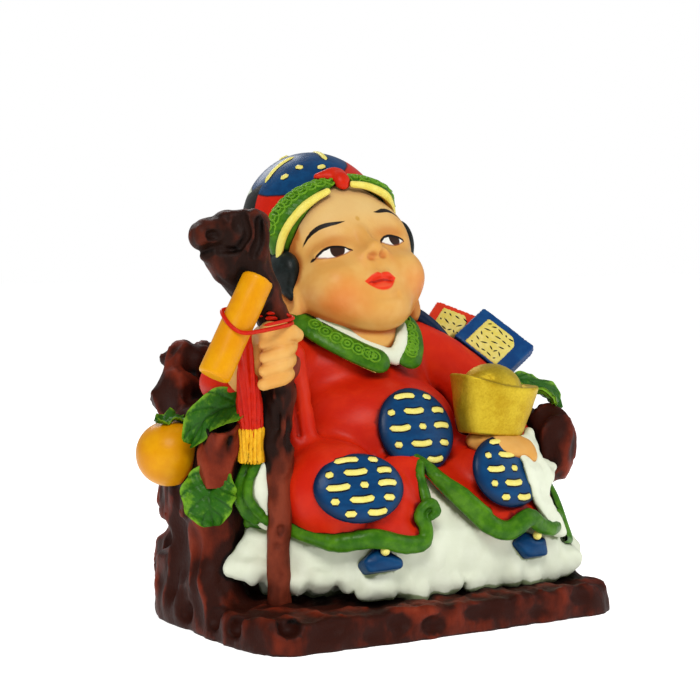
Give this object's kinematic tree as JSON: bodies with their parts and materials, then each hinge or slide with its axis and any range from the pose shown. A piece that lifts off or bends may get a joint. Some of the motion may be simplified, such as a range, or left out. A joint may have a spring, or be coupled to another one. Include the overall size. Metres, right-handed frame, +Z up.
{
  "type": "goddess of wealth statue",
  "caption": "Small painted cast-resin figurine of a chubby seated wealth deity on a root throne, with a dragon staff, a scroll, an ingot in the palm and books behind the shoulder",
  "frame": {"origin": "middle of the box round the part, on the plane it stands on", "axes": "+Z up, the figure faces -Y, +X is the viewer's right when looking at its front; front to back along Y is the shortest extent"},
  "size_m": [0.119, 0.0941, 0.1193],
  "materials": {
    "painted_resin": "brush-painted cast resin in red, white, green, blue, brown and skin colours under a satin varnish, with dark wash in the hollows",
    "staff_resin": "dark brown painted cast resin with an orange scroll and a red cord, satin varnish",
    "gold_paint": "grainy metallic gold paint on cast resin"
  },
  "bodies": {
    "root": {"seated_figure": "painted_resin", "dragon_staff": "staff_resin", "gold_ingot": "gold_paint"}
  },
  "joints": []
}
